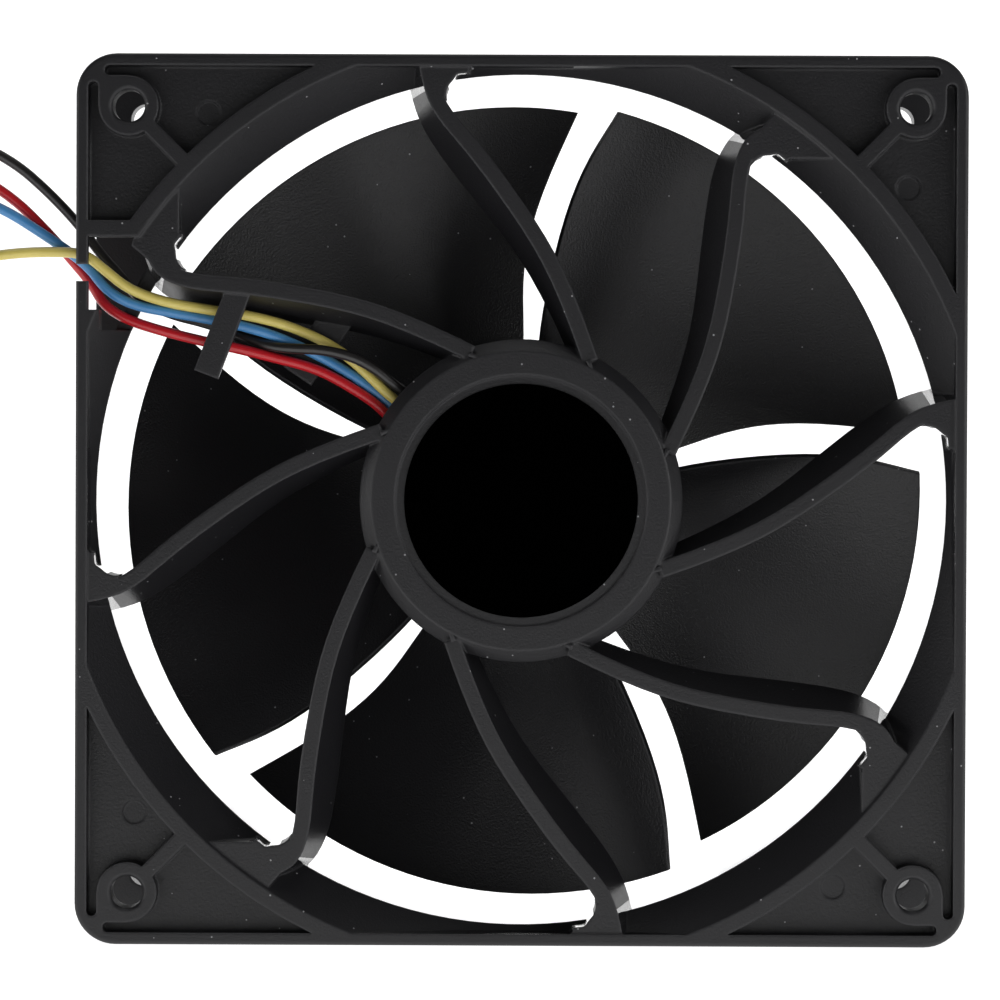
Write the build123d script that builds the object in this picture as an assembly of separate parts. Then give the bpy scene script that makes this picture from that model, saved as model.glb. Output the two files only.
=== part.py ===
"""Axial case fan, 119 x 119 x 38 mm (the 120 mm size), standing on one edge of its frame.

Row frame: +Z up, +Y towards the intake side, origin under the middle of the frame, on the ground.
The pieces are drawn about the fan's own axis first (z = 0 at mid depth, +z towards the outlet,
where the stator vanes are) and turned into the row frame when they are written.
"""
from build123d import *
from math import cos, pi, radians, sin, sqrt, tan
import os

# --- frame moulding -------------------------------------------------------------------------
FRAME_SIDE = 119.0          # outer square
FRAME_DEPTH = 38.0          # along the fan axis
FRAME_CORNER_R = 5.5
OUTER_EDGE_R = 0.45         # rounding of the flanges' outer edges
FLANGE_T = 5.0              # square flange at each end of the duct
SIDE_WALL = 1.6             # outer wall of the flanges
WALL_TO_THROAT = 0.75       # inner face of the side walls to the bore
DUCT_WALL = 2.05
FLARE_GROWTH = 4.95         # of the radius, at both ends, cut off by the side walls
FLARE_DEPTH = 6.0
RIM_W = 2.1                 # arc-shaped rim around the flare
HOLE_TO_EDGE = 7.0          # makes the 105 mm pattern
HOLE_R = 2.15
BOSS_R = 4.0
HOLE_CHAMFER = 0.35
POCKET_DEPTH = 3.2
CORNER_RIB_W = 2.0
SLOT_W = 1.35               # narrow end of a pocket, between the boss and the outer wall
SLOT_PAST_HOLE = 3.2
EJECTOR_R = 1.6
EJECTOR_DEPTH = 0.15
EJECTOR_FROM_HOLE = (10.5, 0.8)

# --- stator vanes and motor base ---------------------------------------------------------------
# A vane's points are (share of the way from the motor base to the bore, angle, lean of the front
# edge in degrees). The land beside each vane's root has points of (distance outside the bore, angle).
VANES = 8
VANE_W = 2.1
VANE_TOP = 0.4              # below the rear face
VANE_DEPTH = 9.2            # along the fan axis
VANE_PATH = [(-0.024, 63.6, 4.7), (0.129, 75.0, 4.7), (0.315, 84.0, 4.7), (0.526, 92.1, 4.6),
             (0.768, 99.0, 3.6), (0.911, 101.9, 2.3)]
SIDE_VANE_END = [(0.996, 102.4, 1.9), (1.103, 102.2, 1.9)]
CORNER_VANE_END = [(1.001, 102.2, 1.6), (1.060, 101.1, 1.2), (1.153, 98.6, 1.0)]
ROOT_ARCH = [(-2.54, 55.7), (-1.6, 55.5), (-0.8, 54.95), (-0.25, 54.3), (0.3, 53.75), (0.35, 53.0), (0.38, 52.05)]
LAND_EDGE = [(0.8, 52.1), (5.6, 46.8)]
LAND_BACK = [(7.0, 48.0), (7.0, 52.0), (5.0, 57.0), (0.5, 57.6), (-1.5, 57.0)]
LAND_DEPTH = 7.0
BASE_R = 21.6
BASE_BEVEL = 1.6
BASE_PLATE_T = 2.2
BASE_SKIRT_T = 1.3
LABEL_R = 15.6
LABEL_T = 0.25
LABEL_RECESS_R = 16.8
LABEL_RECESS = 0.4
LEAD_NOTCH = (143.5, 8.6, 6.4)      # angle, width, height of the lead outlet in the skirt

# --- impeller -------------------------------------------------------------------------------------
BLADES = 5
TIP_GAP = 3.0               # blade tips to the bore
HUB_R = 21.2
HUB_WALL = 1.5
HUB_RECESS = 2.0            # hub front behind the intake face
HUB_TO_VANES = 1.0
HUB_TOP_T = 1.6
HUB_EDGE_R = 2.4
BLADE_TO_HUB_FRONT = 1.4
TIP_RAKE = 5.1              # the front edge lies this much further back at the tip
BLADE_TO_HUB_REAR = 1.1
LEAD_ANGLE = 18.4           # leading edge at the hub, degrees
TRAIL_ANGLE = 83.1          # trailing edge at the hub
LEAD_SWEEP = 0.0087         # degrees per mm squared from the hub outwards
TRAIL_SWEEP = 0.0065
BLADE_CAMBER = 0.30
BLADE_T_HUB = 2.5
BLADE_T_TIP = 1.7
BLADE_EDGE_T = 0.9

# --- motor ----------------------------------------------------------------------------------------
SHAFT_R = 1.5
FIT = 0.02                  # radial running clearance
TUBE_R = 5.0
TUBE_TO_YOKE = 6.4
BEARING_R = 4.0
BEARING_W = 4.0
BALLS = 7
BALL_R = 0.794
BALL_CIRCLE_R = 2.75
RACE_SHOULDER = 0.55        # race face to ball circle
BALL_GROOVE_GAP = 0.035
SHIELD_T = 0.2
CAGE_T = 0.5
CAGE_W = 2.3
YOKE_T = 1.0
YOKE_TO_HUB_REAR = 2.0
MAGNET_T = 1.8
MAGNET_TO_YOKE_FACE = 5.4
MAGNET_TO_YOKE_RIM = 0.4
AIR_GAP = 0.4
CORE_TO_YOKE_FACE = 7.9
CORE_TO_BOARD = 5.8
CORE_RING_R = 7.4
POLES = 4
POLE_NECK_W = 5.0
POLE_SHOE_T = 2.0
POLE_SHOE_SPAN = 74.0       # degrees
BOBBIN_T = 0.9
WINDING_T = 2.4
WINDING_OUT_R = 12.9
PIN_R = 0.35
PIN_ANGLE = 11.25
BOARD_R = 19.0
BOARD_T = 1.2
BOARD_TO_PLATE = 6.5

# --- leads ----------------------------------------------------------------------------------------
LEAD_D = 1.4
TAB_T = 1.4
# ends as (share of the way from base to bore, angle), width, and height from the vanes' front edge
INNER_TAB = ((0.377, 134.6), (0.361, 151.3), 4.5, 1.6)
OUTER_TAB = ((0.721, 142.7), (0.667, 158.4), 3.4, 8.2)
CHANNEL_BELOW_HOLE = (29.9, 17.45)  # distances below the hole's axis
CHANNEL_DEPTH = 6.5
CHANNEL_INWARD = 17.9
SLOT_DEPTH = 1.2                    # into the side wall
HOOK_BELOW_HOLE = (21.1, 17.4)
HOOK_GAP = 2.3
HOOK_T = 1.9
WINDOW_BELOW_HOLE = (27.2, 17.4)
SLOT_LEDGE = 0.3                    # solid foot of the slot reaches this far past it
COIL_CENTRE = (-95.0, -1.6)
COIL_MEAN_R = 16.4
COIL_W = 3.2
COIL_H = 5.9
PLUG = (10.2, 14.0, 5.6)
PLUG_OFFSET = (3.0, 0.0)            # from the middle of the coil
PLUG_PITCH = 2.54
TAIL_H = 5.0
GROUND = 0.02               # the loose pieces lie this far above the ground plane
TIE_W = 2.2
TIE_T = 0.8

HALF_SIDE = FRAME_SIDE / 2
HALF_DEPTH = FRAME_DEPTH / 2
AXIS_HEIGHT = HALF_SIDE
WALL_IN = HALF_SIDE - SIDE_WALL
THROAT_R = WALL_IN - WALL_TO_THROAT
FLARE_R = THROAT_R + FLARE_GROWTH
DUCT_OUT_R = THROAT_R + DUCT_WALL
HOLE_AT = HALF_SIDE - HOLE_TO_EDGE
VANE_REAR = HALF_DEPTH - VANE_TOP
VANE_FRONT = VANE_REAR - VANE_DEPTH
BASE_IN_R = BASE_R - BASE_SKIRT_T
PLATE_FRONT = HALF_DEPTH - BASE_PLATE_T
TIP_R = THROAT_R - TIP_GAP
HUB_FRONT = HUB_RECESS - HALF_DEPTH
HUB_REAR = VANE_FRONT - HUB_TO_VANES
BLADE_FRONT = HUB_FRONT + BLADE_TO_HUB_FRONT
BLADE_REAR = HUB_REAR - BLADE_TO_HUB_REAR
YOKE_R = HUB_R - HUB_WALL
YOKE_IN_R = YOKE_R - YOKE_T
MAGNET_IN_R = YOKE_IN_R - MAGNET_T
CORE_R = MAGNET_IN_R - AIR_GAP
HUB_INSIDE = HUB_FRONT + HUB_TOP_T
YOKE_INSIDE = HUB_INSIDE + YOKE_T
YOKE_REAR = HUB_REAR - YOKE_TO_HUB_REAR
MAGNET_FRONT = YOKE_INSIDE + MAGNET_TO_YOKE_FACE
MAGNET_REAR = YOKE_REAR - MAGNET_TO_YOKE_RIM
BOARD_FRONT = PLATE_FRONT - BOARD_TO_PLATE
BOARD_REAR = BOARD_FRONT + BOARD_T
CORE_FRONT = YOKE_INSIDE + CORE_TO_YOKE_FACE
CORE_REAR = BOARD_FRONT - CORE_TO_BOARD
TUBE_FRONT = YOKE_INSIDE + TUBE_TO_YOKE
TUBE_REAR = HALF_DEPTH - LABEL_RECESS
REAR_BEARING_Z = PLATE_FRONT - BEARING_W / 2 - 0.4
FRONT_BEARING_Z = TUBE_FRONT + BEARING_W / 2 + 0.6

TO_ROW = Pos(0, 0, AXIS_HEIGHT) * Rot(90, 0, 0)


def polar(radius, angle, z=0.0):
    return Vector(radius * cos(radians(angle)), radius * sin(radians(angle)), z)


def disc(radius, low, high):
    return Pos(0, 0, (low + high) / 2) * Cylinder(radius, high - low)


def ring(outer, inner, low, high):
    return disc(outer, low, high) - disc(inner, low - 1, high + 1)


def block(x, y, z):
    size = [high - low for low, high in (x, y, z)]
    middle = [(high + low) / 2 for low, high in (x, y, z)]
    return Pos(*middle) * Box(*size)


def turned(shape, count):
    return [Rot(0, 0, 360 / count * i) * shape for i in range(count)]


def revolved(points):
    face = make_face(Polyline([(r, 0, z) for r, z in points], close=True))
    return revolve(face, Axis.Z)


# --- frame ------------------------------------------------------------------------------------------
def flare_cut():
    """Cone at the outlet end, cut off flat by the four side walls."""
    low = HALF_DEPTH - FLARE_DEPTH
    over = HALF_DEPTH + 1
    over_r = FLARE_R + FLARE_GROWTH / FLARE_DEPTH
    cone = revolved([(0, low), (THROAT_R, low), (over_r, over), (0, over)])
    square = Pos(0, 0, HALF_DEPTH) * Box(2 * WALL_IN, 2 * WALL_IN, 2 * FLARE_DEPTH + 2)
    inside_rim = disc(FLARE_R, low, over)
    return cone & square & inside_rim


def pocket_slot():
    """Round-ended end of a pocket, between the boss and the outer wall, beyond the hole."""
    low = HALF_DEPTH - POCKET_DEPTH
    reach = SLOT_PAST_HOLE - SLOT_W / 2
    outline = make_face(SlotCenterToCenter(2 * reach, SLOT_W).edges())
    return Pos(HOLE_AT, WALL_IN - SLOT_W / 2, low) * extrude(outline, POCKET_DEPTH + 1)


def corner_pockets():
    """The two hollows of one flange corner, either side of its diagonal rib."""
    low = HALF_DEPTH - POCKET_DEPTH
    high = HALF_DEPTH + 1
    field = block((0, WALL_IN), (0, WALL_IN), (low, high)) - disc(FLARE_R + RIM_W, low - 1, high + 1)
    field -= block((HOLE_AT, HALF_SIDE), (HOLE_AT, HALF_SIDE), (low - 1, high + 1))
    field -= Pos(HOLE_AT, HOLE_AT, 0) * disc(BOSS_R, low - 1, high + 1)
    slot = pocket_slot()
    field += slot
    field += mirror(slot, Plane.XZ.rotated((0, 0, 45)))
    rib_length = sqrt(2) * HOLE_AT
    rib = Pos(rib_length / 2, 0, HALF_DEPTH) * Box(rib_length, CORNER_RIB_W, 4 * POCKET_DEPTH)
    return field - Rot(0, 0, 45) * rib


def flange_features(at_outlet):
    """Everything that is cut from one flange."""
    cuts = [flare_cut()]
    for quarter in range(4):
        pockets = corner_pockets()
        if at_outlet and quarter == 1:
            keep_y = HOLE_AT - HOOK_BELOW_HOLE[1] + RIM_W
            pockets = pockets - block((0, keep_y), (0, HALF_SIDE), (0, FRAME_DEPTH))
        cuts.append(Rot(0, 0, 90 * quarter) * pockets)
    return cuts


def lead_outlet():
    """Slot behind the left wall and the hook that holds the leads in it."""
    top = HALF_DEPTH + 1
    floor = HALF_DEPTH - CHANNEL_DEPTH
    across, hook, window = [[HOLE_AT - distance for distance in pair] for pair in
                            (CHANNEL_BELOW_HOLE, HOOK_BELOW_HOLE, WINDOW_BELOW_HOLE)]
    gap = (hook[0] - HOOK_GAP, hook[0])
    inner = -WALL_IN + SLOT_DEPTH
    foot = block((-WALL_IN, inner + SLOT_LEDGE), (across[0], window[0]), (0, top))
    channel = block((-WALL_IN, -WALL_IN + CHANNEL_INWARD), across, (floor, top))
    return [channel - foot,
            block((-HALF_SIDE - 1, inner), window, (floor, HALF_DEPTH - HOOK_T)),
            block((-HALF_SIDE - 1, -WALL_IN + 0.1), gap, (floor, top)),
            block((-WALL_IN, inner), (window[0], hook[1]), (0, top))]


def duct():
    side = RectangleRounded(FRAME_SIDE, FRAME_SIDE, FRAME_CORNER_R)
    body = Pos(0, 0, -HALF_DEPTH) * extrude(side, FRAME_DEPTH)
    by_height = body.edges().group_by(Axis.Z)
    body = fillet(by_height[0] + by_height[-1], OUTER_EDGE_R)
    between = HALF_DEPTH - FLANGE_T
    waist = Pos(0, 0, -between) * extrude(side, 2 * between)
    body -= waist - disc(DUCT_OUT_R, -between - 1, between + 1)
    body -= disc(THROAT_R, -FRAME_DEPTH, FRAME_DEPTH)
    for cut in flange_features(True):
        body -= cut
    for cut in flange_features(False):
        body -= Rot(180, 0, 0) * cut
    for x in (-HOLE_AT, HOLE_AT):
        for y in (-HOLE_AT, HOLE_AT):
            body -= Pos(x, y, 0) * Cylinder(HOLE_R, 2 * FRAME_DEPTH)
            chamfer_cone = Cone(HOLE_R, HOLE_R + 2 * HOLE_CHAMFER, 2 * HOLE_CHAMFER)
            body -= Pos(x, y, HALF_DEPTH) * chamfer_cone
    ejector = [HOLE_AT - distance for distance in EJECTOR_FROM_HOLE]
    mark = Pos(-ejector[0], ejector[1], HALF_DEPTH - POCKET_DEPTH) * Cylinder(EJECTOR_R, 2 * EJECTOR_DEPTH)
    for cut in turned(mark, 4) + lead_outlet():
        body -= cut
    return body


def span_point(share, angle):
    """Point at a share of the way from the motor base to the bore."""
    return polar(BASE_R + share * (THROAT_R - BASE_R), angle)


def vane_strip(path, leaning):
    """Outline of a vane's rear edge, or of its front edge, which leans round the fan axis."""
    middle = [span_point(share, angle + lean * leaning) for share, angle, lean in path]
    left = []
    right = []
    for i, point in enumerate(middle):
        ahead = middle[min(i + 1, len(middle) - 1)]
        behind = middle[max(i - 1, 0)]
        along = (ahead - behind).normalized()
        across = Vector(-along.Y, along.X, 0) * (VANE_W / 2)
        left.append(point + across)
        right.append(point - across)
    ends = [Line(left[-1], right[-1]), Line(right[0], left[0])]
    return make_face([Spline(*left), ends[0], Spline(*reversed(right)), ends[1]])


def vane(path):
    rear = Pos(0, 0, VANE_REAR) * vane_strip(path, 0)
    front = Pos(0, 0, VANE_FRONT) * vane_strip(path, 1)
    return loft([rear, front], ruled=True)


def root_land():
    """Flat land where a vane meets the duct, with a round arch towards the vane."""
    arch, edge, back = [[polar(THROAT_R + out, angle) for out, angle in points]
                        for points in (ROOT_ARCH, LAND_EDGE, LAND_BACK)]
    outline = [Spline(*arch), Polyline(arch[-1], *edge, *back, arch[0])]
    return Pos(0, 0, VANE_REAR - LAND_DEPTH) * extrude(make_face(outline), LAND_DEPTH)


def vane_envelope():
    """The space that the vanes may fill: out to the middle of the duct wall and of the flange."""
    between = HALF_DEPTH - FLANGE_T
    inside = disc(DUCT_OUT_R - 0.3, 0, between + 0.5)
    square = RectangleRounded(FRAME_SIDE - 1, FRAME_SIDE - 1, FRAME_CORNER_R)
    inside += Pos(0, 0, between) * extrude(square, FLANGE_T)
    return inside & disc(FLARE_R + RIM_W / 2, 0, HALF_DEPTH)


def motor_base():
    profile = [(TUBE_R, HALF_DEPTH - LABEL_RECESS), (LABEL_RECESS_R, HALF_DEPTH - LABEL_RECESS),
               (LABEL_RECESS_R, HALF_DEPTH), (BASE_R - BASE_BEVEL, HALF_DEPTH),
               (BASE_R, HALF_DEPTH - BASE_BEVEL), (BASE_R, VANE_FRONT),
               (BASE_IN_R, VANE_FRONT), (BASE_IN_R, PLATE_FRONT), (TUBE_R, PLATE_FRONT)]
    angle, width, height = LEAD_NOTCH
    notch = Pos(BASE_R, 0, VANE_FRONT + height / 2 - 1) * Box(3 * BASE_SKIRT_T, width, height + 2)
    return revolved(profile) - Rot(0, 0, angle) * notch


def lead_tab(start, end, width, height):
    """Flat tab that keeps the leads against the vane beside them."""
    start, end = span_point(*start), span_point(*end)
    along = end - start
    middle = (start + end) * 0.5
    turn = Vector(1, 0, 0).get_signed_angle(along, Vector(0, 0, 1))
    return Pos(middle.X, middle.Y, VANE_FRONT + height) * Rot(0, 0, turn) * Box(along.length, width, TAB_T)


def frame_housing():
    roots = turned(root_land(), VANES)
    vanes = turned(vane(VANE_PATH + SIDE_VANE_END), VANES // 2)
    vanes += [Rot(0, 0, -45) * v for v in turned(vane(VANE_PATH + CORNER_VANE_END), VANES // 2)]
    body = duct() + motor_base()
    envelope = vane_envelope()
    for piece in vanes + roots:
        body += piece & envelope
    body += lead_tab(*INNER_TAB)
    body += lead_tab(*OUTER_TAB)
    return body


# --- impeller ------------------------------------------------------------------------------------------
def blade_angles(radius):
    out = max(min(radius, TIP_R + 1.5) - HUB_R, 0) ** 2
    return LEAD_ANGLE - LEAD_SWEEP * out, TRAIL_ANGLE - TRAIL_SWEEP * out


def blade_section(offset, middle_angle):
    """Section of a blade on the plane at this distance from the axis, square to middle_angle."""
    ends = []
    for side in (0, 1):
        lean = 0.0
        for _ in range(40):
            lean = blade_angles(offset / cos(radians(lean)))[side] - middle_angle
        ends.append(lean)
    share = (offset - HUB_R) / (TIP_R - HUB_R)
    thick = BLADE_T_HUB + (BLADE_T_TIP - BLADE_T_HUB) * min(max(share, 0), 1)
    front = BLADE_FRONT + TIP_RAKE * min(max(share, 0), 1) ** 1.5
    count = 9
    line = []
    for i in range(count):
        lean = ends[0] + (ends[1] - ends[0]) * i / (count - 1)
        first, last = blade_angles(offset / cos(radians(lean)))
        s = min(max((middle_angle + lean - first) / (last - first), 0), 1)
        rise = (1 - BLADE_CAMBER) * s + BLADE_CAMBER * s * s
        line.append((offset * tan(radians(lean)), front + (BLADE_REAR - front) * rise, s))
    upper = []
    lower = []
    for i, (across, height, s) in enumerate(line):
        ahead = line[min(i + 1, count - 1)]
        behind = line[max(i - 1, 0)]
        along = Vector(ahead[0] - behind[0], ahead[1] - behind[1], 0).normalized()
        half = (BLADE_EDGE_T + (thick - BLADE_EDGE_T) * sin(pi * s ** 0.8)) / 2
        upper.append(Vector(offset, across - along.Y * half, height + along.X * half))
        lower.append(Vector(offset, across + along.Y * half, height - along.X * half))
    caps = [Line(upper[-1], lower[-1]), Line(lower[0], upper[0])]
    return make_face([Spline(*upper), caps[0], Spline(*reversed(lower)), caps[1]])


def blade():
    middle = sum(blade_angles(0.75 * TIP_R)) / 2
    step = (TIP_R + 1 - 0.8 * HUB_R) / 5
    sections = [blade_section(0.8 * HUB_R + step * i, middle) for i in range(6)]
    body = Rot(0, 0, middle) * loft(sections)
    return body & ring(TIP_R, HUB_R - HUB_WALL / 2, HUB_FRONT, HUB_REAR)


def impeller():
    hub = disc(HUB_R, HUB_FRONT, HUB_REAR)
    hub = fillet(hub.edges().sort_by(Axis.Z)[:1], HUB_EDGE_R)
    hub -= disc(YOKE_R, HUB_INSIDE, HUB_REAR + 1)
    hub -= disc(4.0, HUB_INSIDE - 0.8, HUB_INSIDE + 1)
    for piece in turned(blade(), BLADES):
        hub += piece
    return hub


# --- motor, turning side --------------------------------------------------------------------------------
def rotor_yoke():
    cup = disc(YOKE_R, HUB_INSIDE, YOKE_REAR) - disc(YOKE_IN_R, YOKE_INSIDE, YOKE_REAR + 1)
    return cup - disc(3.0, HUB_INSIDE - 1, YOKE_INSIDE + 1)


def shaft_boss():
    """Turned brass boss that joins the shaft to the hub."""
    body = disc(4.0, HUB_INSIDE - 0.8, HUB_INSIDE) + disc(3.0, HUB_INSIDE, YOKE_INSIDE)
    body += disc(4.6, YOKE_INSIDE, YOKE_INSIDE + 2.2)
    return body - disc(SHAFT_R, HUB_FRONT - 1, HALF_DEPTH)


CLIP_Z = REAR_BEARING_Z + BEARING_W / 2 + 0.55
SHAFT_REAR = CLIP_Z + 0.9


def shaft():
    body = disc(SHAFT_R, HUB_INSIDE - 0.8, SHAFT_REAR)
    body = chamfer(body.edges().group_by(Axis.Z)[-1], 0.3)
    return body - ring(SHAFT_R + 1, SHAFT_R - 0.3, CLIP_Z - 0.25, CLIP_Z + 0.25)


def shaft_clip():
    body = ring(2.6, SHAFT_R - 0.3 + FIT, CLIP_Z - 0.2, CLIP_Z + 0.2)
    body -= block((0, 4), (-0.95, 0.95), (CLIP_Z - 1, CLIP_Z + 1))
    return body


SPRING_FRONT = YOKE_INSIDE + 2.2
SPRING_REAR = FRONT_BEARING_Z - BEARING_W / 2 - 0.25
SPRING_WIRE_R = 0.2
SPRING_R = 2.1


def preload_spring():
    """Small compression spring between the boss and the front bearing's inner race."""
    low = SPRING_FRONT + SPRING_WIRE_R + 0.03
    height = SPRING_REAR - 2 * SPRING_WIRE_R - 0.06 - SPRING_FRONT
    path = Pos(0, 0, low) * Helix(height / 3.0, height, SPRING_R)
    plane = Plane(origin=path @ 0, z_dir=path % 0)
    return sweep(plane * Circle(SPRING_WIRE_R), path=path)


def spring_washer():
    return ring(2.6, SHAFT_R + FIT, SPRING_REAR, SPRING_REAR + 0.22)


# --- bearings ---------------------------------------------------------------------------------------------
def bearing(middle):
    """The five pieces of one deep-groove ball bearing, as (name, shape)."""
    low = middle - BEARING_W / 2
    high = middle + BEARING_W / 2
    inner_r = BALL_CIRCLE_R - RACE_SHOULDER
    outer_r = BALL_CIRCLE_R + RACE_SHOULDER
    groove = Pos(0, 0, middle) * Torus(BALL_CIRCLE_R, BALL_R + BALL_GROOVE_GAP)
    ball = Pos(BALL_CIRCLE_R, 0, middle) * Sphere(BALL_R)
    pocket = Pos(BALL_CIRCLE_R, 0, middle) * Rot(0, 90, 0) * Cylinder(BALL_R + BALL_GROOVE_GAP, 2)
    cage = ring(BALL_CIRCLE_R + CAGE_T / 2, BALL_CIRCLE_R - CAGE_T / 2, middle - CAGE_W / 2, middle + CAGE_W / 2)
    for hollow in turned(pocket, BALLS):
        cage -= hollow
    shields = [ring(outer_r, inner_r + 0.12, low + 0.1, low + 0.1 + SHIELD_T),
               ring(outer_r, inner_r + 0.12, high - 0.1 - SHIELD_T, high - 0.1)]
    return [("outer_race", ring(BEARING_R, outer_r, low, high) - groove),
            ("inner_race", ring(inner_r, SHAFT_R, low, high) - groove),
            ("balls", turned(ball, BALLS)),
            ("cage", cage),
            ("shields", shields)]


# --- motor, standing side ---------------------------------------------------------------------------------
def bearing_tube():
    """Brass tube held in the middle of the motor base, with a step between the bearings."""
    body = ring(TUBE_R, BEARING_R, TUBE_FRONT, TUBE_REAR)
    step = ring(BEARING_R, BEARING_R - 0.5, FRONT_BEARING_Z + BEARING_W / 2, REAR_BEARING_Z - BEARING_W / 2)
    return body + step


def sector(outer, inner, low, high, span):
    """Part of a ring, centred on +X."""
    half = radians(span / 2)
    reach = outer * 1.5
    wedge = make_face(Polyline((0, 0, 0), (reach * cos(half), reach * sin(half), 0),
                               (reach * cos(half), -reach * sin(half), 0), close=True))
    return ring(outer, inner, low, high) & (Pos(0, 0, low - 1) * extrude(wedge, high - low + 2))


def pole(outer, neck, shoe, low, high):
    body = block((CORE_RING_R - 1, outer - shoe / 2), (-neck / 2, neck / 2), (low, high))
    return body + sector(outer, outer - shoe, low, high, POLE_SHOE_SPAN)


def stator_core():
    body = ring(CORE_RING_R, TUBE_R, CORE_FRONT, CORE_REAR)
    for piece in turned(pole(CORE_R, POLE_NECK_W, POLE_SHOE_T, CORE_FRONT, CORE_REAR), POLES):
        body += piece
    return body


def bobbin(face, sign):
    """Plastic insulator on one end of the lamination stack."""
    low, high = sorted((face, face + sign * BOBBIN_T))
    body = ring(CORE_RING_R, TUBE_R, low, high)
    wall_low, wall_high = sorted((face, face + sign * (BOBBIN_T + WINDING_T)))
    for piece in turned(pole(CORE_R - 0.3, POLE_NECK_W, POLE_SHOE_T - 0.4, low, high), POLES):
        body += piece
    lip = sector(CORE_R - 0.7, CORE_R - 1.6, wall_low, wall_high, 40)
    for piece in turned(lip, POLES):
        body += piece
    return body


def windings():
    """One coil of wire round each pole neck, outside the insulators."""
    neck = POLE_NECK_W / 2 + 0.15
    low = CORE_FRONT - BOBBIN_T - 0.05
    high = CORE_REAR + BOBBIN_T + 0.05
    start = CORE_RING_R + 0.5
    length = WINDING_OUT_R - start
    outer = RectangleRounded(2 * (neck + WINDING_T), high - low + 2 * (WINDING_T - 0.7), 1.6)
    inner = Rectangle(2 * neck, high - low)
    end = Plane(origin=(start, 0, (low + high) / 2), x_dir=(0, 1, 0), z_dir=(1, 0, 0))
    coil = extrude(end * (outer - inner), length)
    return turned(coil, POLES)


def winding_pins():
    """Four posts that carry the winding ends from the rear insulator to the board."""
    post = Pos(WINDING_OUT_R + 1.0, 0, 0) * disc(PIN_R, CORE_REAR + BOBBIN_T, BOARD_REAR + 0.6)
    return turned(Rot(0, 0, PIN_ANGLE) * post, POLES)


def circuit_board():
    body = ring(BOARD_R, TUBE_R + 0.3, BOARD_FRONT, BOARD_REAR)
    for hole in turned(Rot(0, 0, PIN_ANGLE) * Pos(WINDING_OUT_R + 1.0, 0, 0) * disc(PIN_R + 0.1, 0, 20), POLES):
        body -= hole
    return body


def chip(size, legs, radius, angle, sign=1):
    """Moulded component with a row of legs down each side, lying on the board."""
    length, width, height = size
    face = BOARD_REAR if sign > 0 else BOARD_FRONT
    body = Pos(0, 0, height / 2 + 0.15) * Box(length, width, height)
    body = chamfer(body.edges().group_by(Axis.Z)[-1], 0.15)
    pitch = length / legs
    for i in range(legs):
        place = -length / 2 + pitch * (i + 0.5)
        body += Pos(place, 0, 0.12) * Box(0.4, width + 1.6, 0.24)
    seated = Pos(radius, 0, face) * Rot(0 if sign > 0 else 180, 0, 90) * body
    return Rot(0, 0, angle) * seated


def board_capacitor():
    can = Rot(0, 0, -60) * Pos(11.6, 0, 0) * disc(2.5, BOARD_REAR + 0.3, PLATE_FRONT - 0.25)
    can = fillet(can.edges().group_by(Axis.Z)[-1], 0.5)
    foot = Rot(0, 0, -60) * Pos(11.6, 0, BOARD_REAR + 0.15) * Box(5.2, 5.2, 0.3)
    return can + foot


def board_resistors():
    """Small two-ended components."""
    places = [(9.0, 20), (9.0, 52), (9.2, 118), (14.4, 70), (14.6, 174), (9.6, 250), (15.0, 262), (16.2, 330)]
    body = Pos(0, 0, BOARD_REAR + 0.3) * Box(2.0, 1.2, 0.6)
    return [Rot(0, 0, a) * Pos(r, 0, 0) * body for r, a in places]


def rear_label():
    return disc(LABEL_R, HALF_DEPTH - LABEL_RECESS, HALF_DEPTH - LABEL_RECESS + LABEL_T)


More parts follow.
